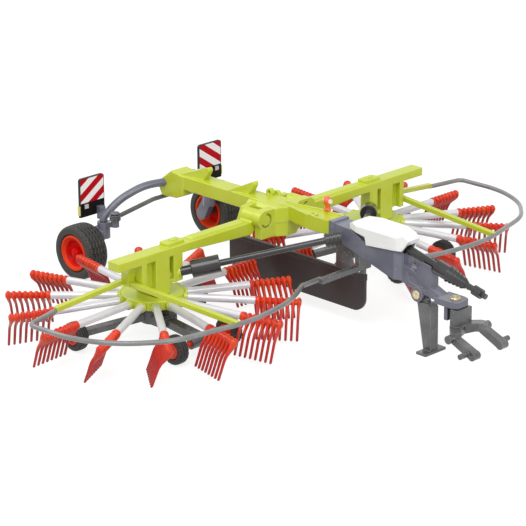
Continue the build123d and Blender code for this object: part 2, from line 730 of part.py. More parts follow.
def make_cradle(s):
    """The frame that carries the small wheels under a rotor."""
    cx = s * rotor_x
    cradle = upright(cx, rotor_y, cradle_low_z, cradle_top_z, 5.2)
    cradle += block(cx - 4.2, cx + 4.2, rotor_y - 9.5, rotor_y + 2, cradle_low_z, cradle_top_z - 1)
    axle_y = rotor_y + front_small_y
    cradle += bar((cx, rotor_y - 6, 8.6), (cx, axle_y + 1.0, small_r + 0.6), 4.2, 3.0)
    cradle += across(cx - 6.5, cx + 6.5, axle_y, small_r, 2.2)
    cradle -= across(cx - 8, cx + 8, axle_y, small_r, small_axle_r + run_gap)
    for t in (-1, 1):
        wheel = cx + t * rear_small_x
        inner = wheel - t * (small_w / 2 + 1.6)
        y = rotor_y + rear_small_y
        cradle += bar((cx, rotor_y, 9.2), (inner, y, small_r + 0.4), 3.4, 2.6)
        cradle += across(inner - t * 1.3, inner + t * 1.2, y, small_r, 2.2)
        cradle += across(inner, wheel + t * (small_w / 2 + 0.4), y, small_r, small_axle_r)
    return cradle


def make_collar(s):
    ring = upright(s * rotor_x, rotor_y, cradle_top_z, hub_low_z - face_gap, collar_r)
    return ring - upright(s * rotor_x, rotor_y, 0, 30, axle_r)


# ---------------------------------------------------------------- wheels
def make_tyre(x, y, r, width, inner_r):
    """A tyre with rounded shoulders, round a rim."""
    half = width / 2
    tyre = across(x - half, x + half, y, r, r)
    edges = tyre.edges().filter_by(GeomType.CIRCLE)
    tyre = fillet(edges, width * 0.16)
    return tyre - across(x - half - 1, x + half + 1, y, r, inner_r)


def make_small_rim(x, y, outwards, bore):
    half = small_w / 2
    rim = across(x - half, x + half, y, small_r, small_rim_r)
    rim -= across(x + outwards * (half - 0.5), x + outwards * (half + 1), y, small_r, 2.1)
    if bore:
        rim -= across(x - 5, x + 5, y, small_r, small_axle_r + run_gap)
    return rim


def make_rim(s):
    """A dished rear rim, open towards both sides, bored for the stub axle."""
    half = wheel_w / 2
    x = s * wheel_x
    rim = across(x - half + 0.2, x + half - 0.2, wheel_y, wheel_r, rim_r)
    rim -= rod((x + s * (half + 0.1), wheel_y, wheel_r), (x + s * (half - 3.6), wheel_y, wheel_r),
               rim_r - 0.7, rim_r - 2.4)
    rim -= across(x - s * (half + 0.1), x - s * 0.2, wheel_y, wheel_r, rim_r - 1.1)
    rim += across(x - s * 1.0, x + s * (half - 1.6), wheel_y, wheel_r, 2.6)
    return rim - across(x - 9, x + 9, wheel_y, wheel_r, stub_r + run_gap)


# ---------------------------------------------------------------- rear axle
def make_axle():
    """The two bowed tubes from the tail block, with the kingpins and board brackets."""
    axle = None
    for _, s in sides:
        path = [(s * x, y, z) for x, y, z in tube_path]
        path.append((s * king_x, king_y, tube_end_z + tube_foot_h))
        path.append((s * king_x, king_y, tube_end_z))
        tube = bent_tube(path, [tube_bend_r, tube_bend_r, tube_foot_r], tube_r)
        tube += upright(s * king_x, king_y, king_low_z, tube_end_z, king_r)
        tube += block(s * (king_x - 1.3), s * (king_x + 1.3), king_y, board_y, 25.4, 31.0)
        axle = tube if axle is None else axle + tube
    return axle - block(-tail_half, tail_half, tail_y, 80, 20, 50)


def make_knuckle(s):
    """A wheel carrier that turns on its kingpin: boss, drop arm, stub axle and steering arm."""
    top = tube_end_z - face_gap
    boss = upright(s * king_x, king_y, boss_low_z, top, boss_r)
    inner = s * (wheel_x - wheel_w / 2 - 0.5)
    outer = s * (king_x - 0.4)
    arm = across(outer, inner, wheel_y, wheel_r, 2.7)
    drop = side_plate([(king_y - 2.2, 20.5), (king_y + 2.2, 22.5), (wheel_y + 2.6, wheel_r + 1),
                       (wheel_y - 2.2, wheel_r - 1.6)], outer, inner)
    stub = across(inner, s * (wheel_x + wheel_w / 2 - 1.4), wheel_y, wheel_r, stub_r)
    seat = tie_z - tie_eye_half - face_gap
    steer = bar((s * king_x, king_y - 1.0, 22.8), (s * king_x, tie_y, seat - 1.4), 2.6, 2.2)
    steer += upright(s * king_x, tie_y, seat - 2.7, seat, 1.7)
    head = tie_z + tie_eye_half + face_gap
    steer += upright(s * king_x, tie_y, seat - 1, head, tie_pin_r)
    steer += upright(s * king_x, tie_y, head, head + 0.6, tie_pin_r + tie_play + 0.6)
    knuckle = boss + arm + drop + stub + steer
    return knuckle - upright(s * king_x, king_y, king_low_z - 0.6, 40, king_r + run_gap)


def make_tie_rod():
    bore_r = tie_pin_r + tie_play
    reach = king_x - bore_r - tie_wall / 2
    level = tie_z + tie_rise
    path = [(-reach, tie_y, tie_z), (-tie_level_x, tie_y, level), (tie_level_x, tie_y, level),
            (reach, tie_y, tie_z)]
    tie = bent_tube(path, tie_bend_r, tie_r)
    for _, s in sides:
        tie += upright(s * king_x, tie_y, tie_z - tie_eye_half, tie_z + tie_eye_half,
                       bore_r + tie_wall)
    for _, s in sides:
        tie -= upright(s * king_x, tie_y, tie_z - 5, tie_z + 5, bore_r)
    return tie


def make_board(s):
    board = block(s * board_in_x, s * board_out_x, board_y, board_y + board_t,
                  board_low_z, board_top_z)
    top = board.edges().filter_by(Axis.Y).group_by(Axis.Z)[-1]
    return fillet(top, 1.2)


def make_lamps(s):
    lamp = block(s * (board_out_x - 4.6), s * (board_out_x - 1.6), board_y - 0.5, board_y,
                 31.2, 33.0)
    side = block(s * board_out_x, s * (board_out_x + 0.6), board_y, board_y + board_t, 28.6, 32.6)
    return Compound([lamp, side])


# ---------------------------------------------------------------- hitch, stand and front shaft
def make_fork():
    top = clevis_low_z - face_gap
    fork = soft(block(-fork_block_half, fork_block_half, fork_block_front, fork_block_rear,
                      fork_block_low_z, top), 0.4)
    fork += upright(0, hitch_y - 0.2, fork_block_low_z, top, 1.9)
    yoke = [(-fork_block_half, fork_block_rear), (fork_block_half, fork_block_rear), (9.4, -104.2),
            (10.1, -107.0), (6.5, -107.6), (4.4, -105.2), (0, -103.9), (-4.4, -105.2),
            (-6.5, -107.6), (-10.1, -107.0), (-9.4, -104.2)]
    fork += soft(top_plate(yoke, 12.2, 15.8), 0.3)
    for _, s in sides:
        x0 = s * (fork_arm_x - fork_arm_half)
        x1 = s * (fork_arm_x + fork_arm_half)
        arm = [(fork_knob_y + 0.8, fork_knob_z + 1.6), (fork_knob_y + 0.8, fork_knob_z - 1.6),
               (fork_nose_y + 0.6, fork_nose_z - fork_nose_r + 0.1),
               (fork_nose_y - 0.6, fork_nose_z + fork_nose_r - 0.1)]
        fork += soft(side_plate(arm, x0, x1), 0.3)
        fork += across(x0, x1, fork_nose_y, fork_nose_z, fork_nose_r)
        fork += across(x1 - s, s * fork_pin_x, fork_pin_y, fork_pin_z, fork_pin_r)
        fork += across(s * fork_arm_x, s * fork_knob_x, fork_knob_y, fork_knob_z, fork_knob_r)
    return fork - upright(0, hitch_y, 10.0, 30, hitch_pin_r + run_gap)


def make_stand():
    """The stand: its hub and link on the pivot, a channel-shaped leg and a broad foot."""
    hub = across(-1.3 + face_gap / 2, 1.3 - face_gap / 2, stand_y, stand_z, 2.4)
    hub += side_plate([(stand_y + 1.6, stand_z - 1.6), (stand_y - 1.0, stand_z + 2.0),
                       (stand_y - 4.2, stand_z - 1.0), (stand_y - 4.2, 18.4), (stand_y - 2.0, 17.6)],
                      -1.15, 1.15)
    leg_rear_y = stand_y - leg_rear
    leg_front_y = stand_y - leg_front
    leg_foot_rear_y = stand_y - leg_foot_rear
    foot_y = leg_foot_rear_y - foot_ahead
    outline = [(leg_rear_y, leg_top_z - 0.4), (leg_front_y + 1.6, leg_top_z),
               (leg_front_y, leg_top_z - 1.4), (leg_foot_rear_y - 3.6, foot_t / 2),
               (leg_foot_rear_y, foot_t / 2)]
    leg = side_plate(outline, -leg_half, leg_half)
    inside = [(y + leg_wall * 1.4, z) for y, z in outline[2:4]]
    inside += [(leg_foot_rear_y + 4, foot_t), (leg_rear_y + 6, leg_top_z - 3)]
    leg -= side_plate(inside, leg_wall - leg_half, leg_half - leg_wall)
    foot = soft(block(-foot_half_x, foot_half_x, foot_y - foot_half_y, foot_y + foot_half_y, 0,
                      foot_t), 0.3)
    stand = hub + leg + foot
    return stand - across(-4, 4, stand_y, stand_z, stand_pin_r + run_gap)


def make_front_shaft():
    """The shaft in front: its eye, rod, sleeve, five ribs of a bellows, joint and tip."""
    half = shaft_eye_half
    shaft = across(-half, half, shaft_y, shaft_z, shaft_eye_r)
    shaft += rod(on_shaft(0), on_shaft(18.5), shaft_r)
    shaft -= across(-half - 1, half + 1, shaft_y, shaft_z, shaft_pin_r + run_gap)
    shaft += rod(on_shaft(17.9), on_shaft(24.4), 2.9)
    for k in range(5):
        start = 24.4 + k * 1.8
        shaft += rod(on_shaft(start), on_shaft(start + 1.8), 3.3 - 0.22 * k, 2.4 - 0.22 * k)
    shaft += rod(on_shaft(33.0), on_shaft(37.6), 1.2)
    shaft += rod(on_shaft(37.2), on_shaft(41.2), 2.0)
    shaft += rod(on_shaft(41.0), on_shaft(43.4), 1.1)
    return shaft


# ---------------------------------------------------------------- every node
nodes = {
    "main_frame": make_main_frame(),
    "latch_lever": make_latch(),
    "drawbar": make_drawbar(),
    "cowl": make_cowl(),
    "hitch_rivet": make_hitch_rivet(),
    "stand_rivet": make_stand_rivet(),
    "swath_curtain": make_curtain(),
    "curtain_hanger": make_hanger(),
    "curtain_rod": make_rod(),
    "rear_axle": make_axle(),
    "tie_rod": make_tie_rod(),
    "hitch_fork": make_fork(),
    "parking_stand": make_stand(),
    "front_shaft": make_front_shaft(),
}

for name, s in sides:
    nodes["boom_" + name] = make_boom(s)
    nodes["guard_struts_" + name] = make_struts(s)
    nodes["guard_tube_" + name] = make_guard(s)
    nodes["cross_shaft_" + name] = make_cross_shaft(s)
    nodes["rotor_axle_" + name] = make_rotor_axle(s)
    nodes["axle_collar_" + name] = make_collar(s)
    nodes["wheel_cradle_" + name] = make_cradle(s)
    nodes["rotor_hub_" + name] = make_hub(s)
    nodes["rotor_arms_" + name] = make_arms(s)
    nodes["tine_combs_" + name] = make_combs(s)

    axle_y = rotor_y + front_small_y
    tyres = []
    rims = across(s * rotor_x - front_small_x, s * rotor_x + front_small_x, axle_y, small_r,
                  small_axle_r)
    for t in (-1, 1):
        x = s * rotor_x + t * front_small_x
        tyres.append(make_tyre(x, axle_y, small_r, small_w, small_rim_r))
        rims += make_small_rim(x, axle_y, t, False)
    nodes["front_small_tyres_" + name] = Compound(tyres)
    nodes["front_small_axle_" + name] = rims

    for place, t in (("outer", s), ("inner", -s)):
        x = s * rotor_x + t * rear_small_x
        y = rotor_y + rear_small_y
        nodes["small_tyre_" + place + "_" + name] = make_tyre(x, y, small_r, small_w, small_rim_r)
        nodes["small_rim_" + place + "_" + name] = make_small_rim(x, y, t, True)

    nodes["rear_tyre_" + name] = make_tyre(s * wheel_x, wheel_y, wheel_r, wheel_w, rim_r)
    nodes["rear_rim_" + name] = make_rim(s)
    nodes["wheel_knuckle_" + name] = make_knuckle(s)
    nodes["warning_board_" + name] = make_board(s)
    nodes["board_lamps_" + name] = make_lamps(s)

for name, shape in nodes.items():
    export_step(Pos(0, shift_y, 0) * shape, "parts/" + name + ".step")
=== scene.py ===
import json
from math import cos, pi, radians, sin

import bmesh
import bpy
from mathutils import Euler, Matrix, Vector


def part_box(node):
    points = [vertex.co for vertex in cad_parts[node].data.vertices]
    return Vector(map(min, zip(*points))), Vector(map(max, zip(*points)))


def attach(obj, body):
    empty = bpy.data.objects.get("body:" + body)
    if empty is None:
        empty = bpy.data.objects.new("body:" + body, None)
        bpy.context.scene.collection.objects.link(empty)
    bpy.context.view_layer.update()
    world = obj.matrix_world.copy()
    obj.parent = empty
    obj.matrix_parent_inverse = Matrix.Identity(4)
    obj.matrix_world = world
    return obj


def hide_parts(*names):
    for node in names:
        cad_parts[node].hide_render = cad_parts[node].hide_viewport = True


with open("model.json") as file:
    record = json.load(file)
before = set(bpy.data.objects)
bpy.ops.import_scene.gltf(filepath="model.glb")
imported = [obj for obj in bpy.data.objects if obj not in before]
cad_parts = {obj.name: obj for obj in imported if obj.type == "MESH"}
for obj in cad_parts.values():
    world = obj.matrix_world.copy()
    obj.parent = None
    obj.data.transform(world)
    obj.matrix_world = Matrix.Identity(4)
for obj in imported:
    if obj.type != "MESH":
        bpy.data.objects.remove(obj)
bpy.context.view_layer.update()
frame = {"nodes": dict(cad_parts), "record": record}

SIDES = (("right", -1), ("left", 1))
MM = 0.001

# warning boards
STRIPE_MM = 6.8         # up and down
STRIPE_SLOPE = 0.68     # rise of a stripe for each step outwards
STRIPE_TURN = -0.87     # radians, where the stripes start
BLACK_PART = 0.36       # share of the board's height

# combs, in millimetres along one arm from the rotor's axis
ARM_ROOT = 17.2         # height at which the arms' lines meet the axis
ARM_DROOP = 1.5         # degrees
ARM_PHASE = {"right": 2.0, "left": 2.4}
FIRST_TINE = 42.2
TINE_PITCH = 2.3
TINE_SIDES = 12
BAR_SIDES = 14
# a tine's rings from the top down: height, rear and front edge, half its thickness
TINE = ((1.8, -0.6, 0.5, 0.3), (1.55, -1.2, 1.1, 0.68), (0.95, -1.7, 1.6, 0.92),
        (0.0, -1.85, 1.85, 0.98), (-1.0, -1.65, 2.15, 0.9), (-1.8, -1.1, 2.5, 0.75),
        (-2.8, 0.0, 2.95, 0.64), (-3.8, 1.2, 3.6, 0.6), (-5.0, 2.55, 4.3, 0.58),
        (-7.0, 3.7, 5.05, 0.56), (-9.4, 4.6, 5.8, 0.56), (-13.7, 6.15, 7.35, 0.54),
        (-14.05, 6.5, 7.15, 0.3))
# the bar's rings from the arm outwards: place and radius
BAR = ((41.0, 1.65), (41.2, 1.85), (41.9, 1.85), (42.1, 1.7), (42.2, 1.3), (59.1, 1.3),
       (59.3, 1.1))

# latch lever, in millimetres
LEVER_SIDES = 20
LEVER_EYE = 4.1         # height of the lever's pin
# the lever's rings from its foot up: height, half width and half depth
LEVER = ((0.0, 1.2, 1.6), (0.7, 1.2, 1.6), (0.9, 1.0, 1.2), (1.8, 0.95, 1.15), (2.4, 1.15, 1.35),
         (2.9, 1.5, 1.5), (3.4, 1.8, 1.6), (4.1, 1.95, 1.6), (4.7, 1.8, 1.6), (5.25, 1.45, 1.5),
         (5.7, 0.95, 1.3), (5.95, 0.4, 0.9))
# the pin's rings from end to end, hollow at both: place and radius
LEVER_PIN = ((-1.75, 0.7), (-1.85, 0.95), (-1.2, 1.05), (1.2, 1.05), (1.85, 0.95), (1.75, 0.7))

# rear rims, in millimetres
RIM_SIDES = 72
STUB_R = 1.58           # bore for the stub axle

# stage: lamps by name, size, power and place; the camera's place, angles in degrees and lens
SOFT_BOXES = (("high_box", 0.8, 8.5, (-0.75, -0.35, 1.15)),
              ("front_box", 0.7, 5.2, (-0.35, -1.15, 0.6)),
              ("rear_box", 0.5, 3.0, (-0.45, 0.85, 0.9)))
SOFT_SKY = 0.6          # the white surroundings as soft light
FLOOR_GLOW = 0.8
CAMERA_PLACE = (-0.6612, -0.6428, 0.3471)
CAMERA_DOWN = 19.58
CAMERA_LEFT = -44.88
CAMERA_ROLL = -0.004    # radians
CAMERA_LENS = 163.2


# ---------------------------------------------------------------- sums made of nodes
class Field:
    """A number that nodes work out, so that a formula can be written as one."""

    def __init__(self, tree, socket):
        self.tree = tree
        self.socket = socket

    def join(self, operation, other=None, third=None):
        """This number and others, put together by one operation."""
        node = self.tree.nodes.new("ShaderNodeMath")
        node.operation = operation
        for slot, value in enumerate((self, other, third)):
            if isinstance(value, Field):
                self.tree.links.new(value.socket, node.inputs[slot])
            elif value is not None:
                node.inputs[slot].default_value = value
        return Field(self.tree, node.outputs[0])

    def __add__(self, other):
        return self.join("ADD", other)

    def __sub__(self, other):
        return self.join("SUBTRACT", other)

    def __mul__(self, other):
        return self.join("MULTIPLY", other)

    def __truediv__(self, other):
        return self.join("DIVIDE", other)

    def sine(self):
        return self.join("SINE")

    def cosine(self):
        return self.join("COSINE")

    def size(self):
        return self.join("ABSOLUTE")

    def above(self, level):
        return self.join("GREATER_THAN", level)

    def bent(self, power):
        """The number to a power, with its sign kept."""
        return self.size().join("POWER", power) * self.join("SIGN")

    def ramp(self, low, high):
        """0 at low and 1 at high, smooth between."""
        node = self.tree.nodes.new("ShaderNodeMapRange")
        node.interpolation_type = "SMOOTHSTEP"
        self.tree.links.new(self.socket, node.inputs["Value"])
        node.inputs["From Min"].default_value = low
        node.inputs["From Max"].default_value = high
        return Field(self.tree, node.outputs["Result"])


def split(tree, socket):
    """The three parts of a vector, as fields."""
    parts = tree.nodes.new("ShaderNodeSeparateXYZ")
    tree.links.new(socket, parts.inputs[0])
    return [Field(tree, output) for output in parts.outputs]


def middle(low, high):
    """The middle of a box."""
    return [(a + b) / 2 for a, b in zip(low, high)]


# ---------------------------------------------------------------- finishes
def shade(red, green, blue):
    """A colour written as it looks on screen, 0 to 255, in the renderer's own units."""
    def linear(value):
        value /= 255
        return value / 12.92 if value <= 0.04045 else ((value + 0.055) / 1.055) ** 2.4
    return (linear(red), linear(green), linear(blue), 1.0)


class Finish:
    """A painted or moulded surface, built up in layers on the part's own coordinates."""

    def __init__(self, name, colour, rough, metal=0.0, coat=0.0, shine=0.5):
        self.material = bpy.data.materials.new(name)
        self.material.use_nodes = True
        self.tree = self.material.node_tree
        self.shader = self.tree.nodes["Principled BSDF"]
        self.shader.inputs["Base Color"].default_value = colour
        self.shader.inputs["Roughness"].default_value = rough
        self.shader.inputs["Metallic"].default_value = metal
        self.shader.inputs["Specular IOR Level"].default_value = shine
        self.shader.inputs["Coat Weight"].default_value = coat
        self.shader.inputs["Coat Roughness"].default_value = 0.1
        self.colour = colour
        self.rough = rough
        place = self.tree.nodes.new("ShaderNodeTexCoord")
        self.place = place.outputs["Object"]
        self.paint = None
        self.facing = None

    def link(self, start, end):
        self.tree.links.new(start, end)

    def noise(self, size_mm, detail=2.0):
        """Cloudy noise with lumps of about this size."""
        node = self.tree.nodes.new("ShaderNodeTexNoise")
        node.inputs["Scale"].default_value = 1 / (size_mm * MM)
        node.inputs["Detail"].default_value = detail
        self.link(self.place, node.inputs["Vector"])
        return Field(self.tree, node.outputs["Fac"])

    def mix(self, amount, over):
        """Lays a colour over the paint so far, by a field's amount."""
        node = self.tree.nodes.new("ShaderNodeMix")
        node.data_type = "RGBA"
        if self.paint is None:
            node.inputs["A"].default_value = self.colour
        else:
            self.link(self.paint, node.inputs["A"])
        node.inputs["B"].default_value = over
        self.link(amount.socket, node.inputs["Factor"])
        self.paint = node.outputs["Result"]
        self.link(self.paint, self.shader.inputs["Base Color"])

    def clouds(self, size_mm, over, amount):
        """Slow changes of tone and gloss, as in moulded plastic or thin paint."""
        lumps = self.noise(size_mm, 3.0)
        self.mix(lumps.ramp(0.35, 0.75) * amount, over)
        gloss = lumps * 0.12 + (self.rough - 0.06)
        self.link(gloss.socket, self.shader.inputs["Roughness"])

    def edges(self, round_mm, over, amount):
        """Rounds the edges a little and lightens them: partly paint worn thin, partly a painted
        highlight where light catches.
        """
        bevel = self.tree.nodes.new("ShaderNodeBevel")
        bevel.samples = 6
        bevel.inputs["Radius"].default_value = round_mm * MM
        true = self.tree.nodes.new("ShaderNodeNewGeometry")
        match = self.tree.nodes.new("ShaderNodeVectorMath")
        match.operation = "DOT_PRODUCT"
        self.link(bevel.outputs["Normal"], match.inputs[0])
        self.link(true.outputs["Normal"], match.inputs[1])
        turn = Field(self.tree, match.outputs["Value"])
        # painted highlight, partly worn paint: the colour is lightened where the rounded normal turns
        # from the true one
        self.mix(turn.ramp(0.985, 0.86) * amount, over)
        self.facing = bevel.outputs["Normal"]
        self.link(self.facing, self.shader.inputs["Normal"])

    def grain(self, size_mm, depth_mm, strength):
        """A fine unevenness of the surface."""
        bump = self.tree.nodes.new("ShaderNodeBump")
        bump.inputs["Strength"].default_value = strength
        bump.inputs["Distance"].default_value = depth_mm * MM
        self.link(self.noise(size_mm).socket, bump.inputs["Height"])
        if self.facing is not None:
            self.link(self.facing, bump.inputs["Normal"])
        self.facing = bump.outputs["Normal"]
        self.link(self.facing, self.shader.inputs["Normal"])

    def specks(self, size_mm, over, share):
        """Small scattered spots, such as dust or flakes."""
        cells = self.tree.nodes.new("ShaderNodeTexVoronoi")
        cells.inputs["Scale"].default_value = 1 / (size_mm * MM)
        self.link(self.place, cells.inputs["Vector"])
        near = Field(self.tree, cells.outputs["Distance"]).ramp(0.3, 0.12)
        picked = split(self.tree, cells.outputs["Color"])[0].above(1 - share)
        self.mix(near * picked, over)


def lime(name):
    """Lime green: even, glossy, paler and yellower along its edges, partly worn and partly a painted
    highlight.
    """
    look = Finish(name, shade(190, 202, 42), 0.38, coat=0.2)
    look.clouds(14, shade(202, 212, 68), 0.5)
    look.edges(0.4, shade(232, 238, 132), 0.75)
    look.grain(0.5, 0.03, 0.12)
    look.specks(1.3, shade(168, 186, 40), 0.05)
    return look.material


def red_orange(name):
    """The small wheels' plastic: orange-red, brighter along its edges, partly worn and partly a
    painted highlight.
    """
    look = Finish(name, shade(202, 30, 6), 0.34, coat=0.1, shine=0.3)
    look.clouds(6, shade(224, 70, 14), 0.6)
    look.edges(0.22, shade(246, 110, 44), 0.35)
    look.grain(0.4, 0.03, 0.12)
    return look.material


def comb_red(name):
    """Orange-red on the bars, with painted shade deepening it to crimson down the tines."""
    look = Finish(name, shade(212, 40, 8), 0.3, coat=0.25, shine=0.3)
    look.clouds(6, shade(232, 84, 20), 0.55)
    height = split(look.tree, look.place)[2]
    # painted shade: the tines darken to crimson towards their lower ends
    look.mix((height * -1).ramp(-15.0 * MM, -9.0 * MM) * 0.85, shade(176, 14, 16))
    # painted highlight along the edges
    look.edges(0.22, shade(250, 124, 60), 0.35)
    look.grain(0.4, 0.03, 0.12)
    return look.material


def rim_red(name):
    """Deep red in the dish, with a painted orange highlight round the lip."""
    low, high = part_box("rear_rim_left")
    radius = (high[2] - low[2]) / 2
    aside, along, up = middle(low, high)
    look = Finish(name, shade(204, 4, 2), 0.4, shine=0.1)
    look.clouds(6, shade(218, 18, 6), 0.6)
    x, y, z = split(look.tree, look.place)
    reach = ((y - along) * (y - along) + (z - up) * (z - up)).join("SQRT")
    # painted highlight: orange on the outer 1.5 to 1.9 mm of the rim, round the lip
    look.mix(reach.ramp(radius - 1.9 * MM, radius - 1.5 * MM), shade(222, 66, 26))
    # painted highlight along the edges
    look.edges(0.2, shade(246, 120, 70), 0.5)
    look.grain(0.4, 0.03, 0.12)
    return look.material


def silver(name):
    """Silver-flaked plastic, with flow lines and tiny flakes."""
    look = Finish(name, shade(222, 221, 225), 0.34, metal=0.2, coat=0.2)
    look.clouds(9, shade(206, 204, 210), 0.5)
    # painted highlight: the edges lightened
    look.edges(0.3, shade(240, 240, 244), 0.5)
    look.specks(0.4, shade(236, 236, 240), 0.12)
    look.grain(0.35, 0.02, 0.15)
    return look.material


def grey(name, colour, pale, rough, coat=0.1, grain=0.2):
    """Plain paint or plastic in a dull colour, paler along its edges, partly worn and partly a
    painted highlight.
    """
    look = Finish(name, colour, rough, coat=coat)
    look.clouds(10, pale, 0.25)
    look.edges(0.35, pale, 0.7)
    look.specks(0.9, pale, 0.06)
    look.grain(0.4, 0.04, grain)
    return look.material


def white_cover(name):
    """The cowl's glossy white."""
    look = Finish(name, shade(244, 244, 242), 0.28, coat=0.3)
    look.clouds(12, shade(232, 233, 234), 0.4)
    # painted highlight: the edges lightened to pure white
    look.edges(0.4, shade(255, 255, 255), 0.6)
    look.grain(0.5, 0.02, 0.08)
    return look.material


def rubber(name):
    """Black tyre rubber, with a painted highlight lightening the edges of its ribs and painted shade
    darkening its grooves.
    """
    look = Finish(name, shade(46, 46, 44), 0.55, shine=0.4)
    look.clouds(5, shade(58, 57, 54), 0.6)
    mark = look.tree.nodes.new("ShaderNodeAttribute")
    mark.attribute_name = "groove"
    depth = Field(look.tree, mark.outputs["Fac"])
    # painted highlight: lighter grey along the edges of the ribs, where the grooves begin
    look.mix((depth * -1).ramp(-0.3, -0.02) * depth.ramp(0.0, 0.02), shade(84, 82, 78))
    # painted shade: nearly black deep in the grooves
    look.mix(depth.ramp(0.3, 0.6), shade(6, 6, 6))
    # painted highlight along the edges
    look.edges(0.15, shade(96, 94, 90), 0.4)
    look.grain(0.3, 0.04, 0.3)
    return look.material


def brass(name):
    """The rivets' yellowish metal."""
    look = Finish(name, shade(222, 208, 172), 0.28, metal=0.75)
    look.clouds(1.5, shade(190, 170, 120), 0.6)
    # painted highlight: the edges lightened
    look.edges(0.2, shade(250, 244, 224), 0.7)
    look.grain(0.25, 0.02, 0.2)
    return look.material


def board_print(name):
    """Slanting red and white stripes on the upper part, black below, a thin grey frame."""
    low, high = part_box("warning_board_left")
    look = Finish(name, shade(250, 249, 250), 0.35, shine=0.2)
    x, y, z = split(look.tree, look.place)
    inner, outer = low[0], high[0]
    rise = z + x.size() * STRIPE_SLOPE
    wave = (rise / (STRIPE_MM * MM)) * (2 * pi) + STRIPE_TURN
    look.mix(wave.sine().ramp(-0.06, 0.06), shade(188, 0, 24))
    split_z = low[2] + (high[2] - low[2]) * BLACK_PART
    look.mix((z * -1).ramp(-split_z - 0.1 * MM, -split_z + 0.1 * MM), shade(20, 17, 17))
    middle = (inner + outer) / 2
    half = (outer - inner) / 2
    aside = (x.size() - middle).size()
    look.mix(aside.ramp(half - 0.4 * MM, half - 0.25 * MM), shade(46, 42, 43))
    look.mix(z.ramp(high[2] - 0.4 * MM, high[2] - 0.25 * MM), shade(46, 42, 43))
    look.mix(y.ramp(low[1] + 0.1 * MM, low[1] + 0.2 * MM), shade(40, 38, 38))
    look.grain(0.6, 0.02, 0.1)
    return look.material


def lamp_lens(name):
    """A pale lens with fine ribs in a black frame; the outer edge's reflector is yellow."""
    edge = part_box("warning_board_left")[1][0]
    look = Finish(name, shade(206, 202, 204), 0.2, coat=0.5)
    x, y, z = split(look.tree, look.place)
    ribs = (z * (2 * pi / (0.45 * MM))).sine()
    look.mix(ribs.ramp(0.2, 0.9) * 0.5, shade(176, 172, 174))
    aside = (x.size() - (edge - 3.1 * MM)).size()
    look.mix(aside.ramp(1.05 * MM, 1.15 * MM), shade(22, 20, 20))
    look.mix(x.size().ramp(edge - 0.05 * MM, edge + 0.05 * MM), shade(214, 212, 116))
    look.grain(0.4, 0.02, 0.1)
    return look.material


FINISHES = {
    # the first two are worn only by the pieces that are made here
    "comb_red": comb_red("comb_red"),
    "rim_red": rim_red("rim_red"),
    "lime_paint": lime("lime_paint"),
    "lime_plastic": lime("lime_plastic"),
    "orange_red_plastic": red_orange("orange_red_plastic"),
    "silver_plastic": silver("silver_plastic"),
    "grey_plastic": grey("grey_plastic", shade(116, 116, 116), shade(172, 172, 172), 0.26, 0.5, 0.08),
    "steel_grey_paint": grey("steel_grey_paint", shade(98, 100, 114), shade(150, 152, 168), 0.3, 0.3),
    "dark_grey_paint": grey("dark_grey_paint", shade(70, 70, 71), shade(158, 158, 158), 0.26, 0.5),
    "black_plastic": grey("black_plastic", shade(22, 20, 20), shade(78, 76, 76), 0.26, 0.4),
    "curtain_plastic": grey("curtain_plastic", shade(34, 23, 21), shade(66, 54, 50), 0.46),
    "white_plastic": white_cover("white_plastic"),
    "orange_plastic": grey("orange_plastic", shade(232, 88, 26), shade(255, 150, 90), 0.3, 0.4, 0.08),
    "board_print": board_print("board_print"),
    "lamp_plastic": lamp_lens("lamp_plastic"),
    "tyre_rubber": rubber("tyre_rubber"),
    "rivet_metal": brass("rivet_metal"),
}

# each node wears the finish that the record names
for subpart in frame["record"]["subparts"]:
    node = frame["nodes"][subpart["node"]]
    node.data.materials.clear()
    node.data.materials.append(FINISHES[subpart["material_slot"]])


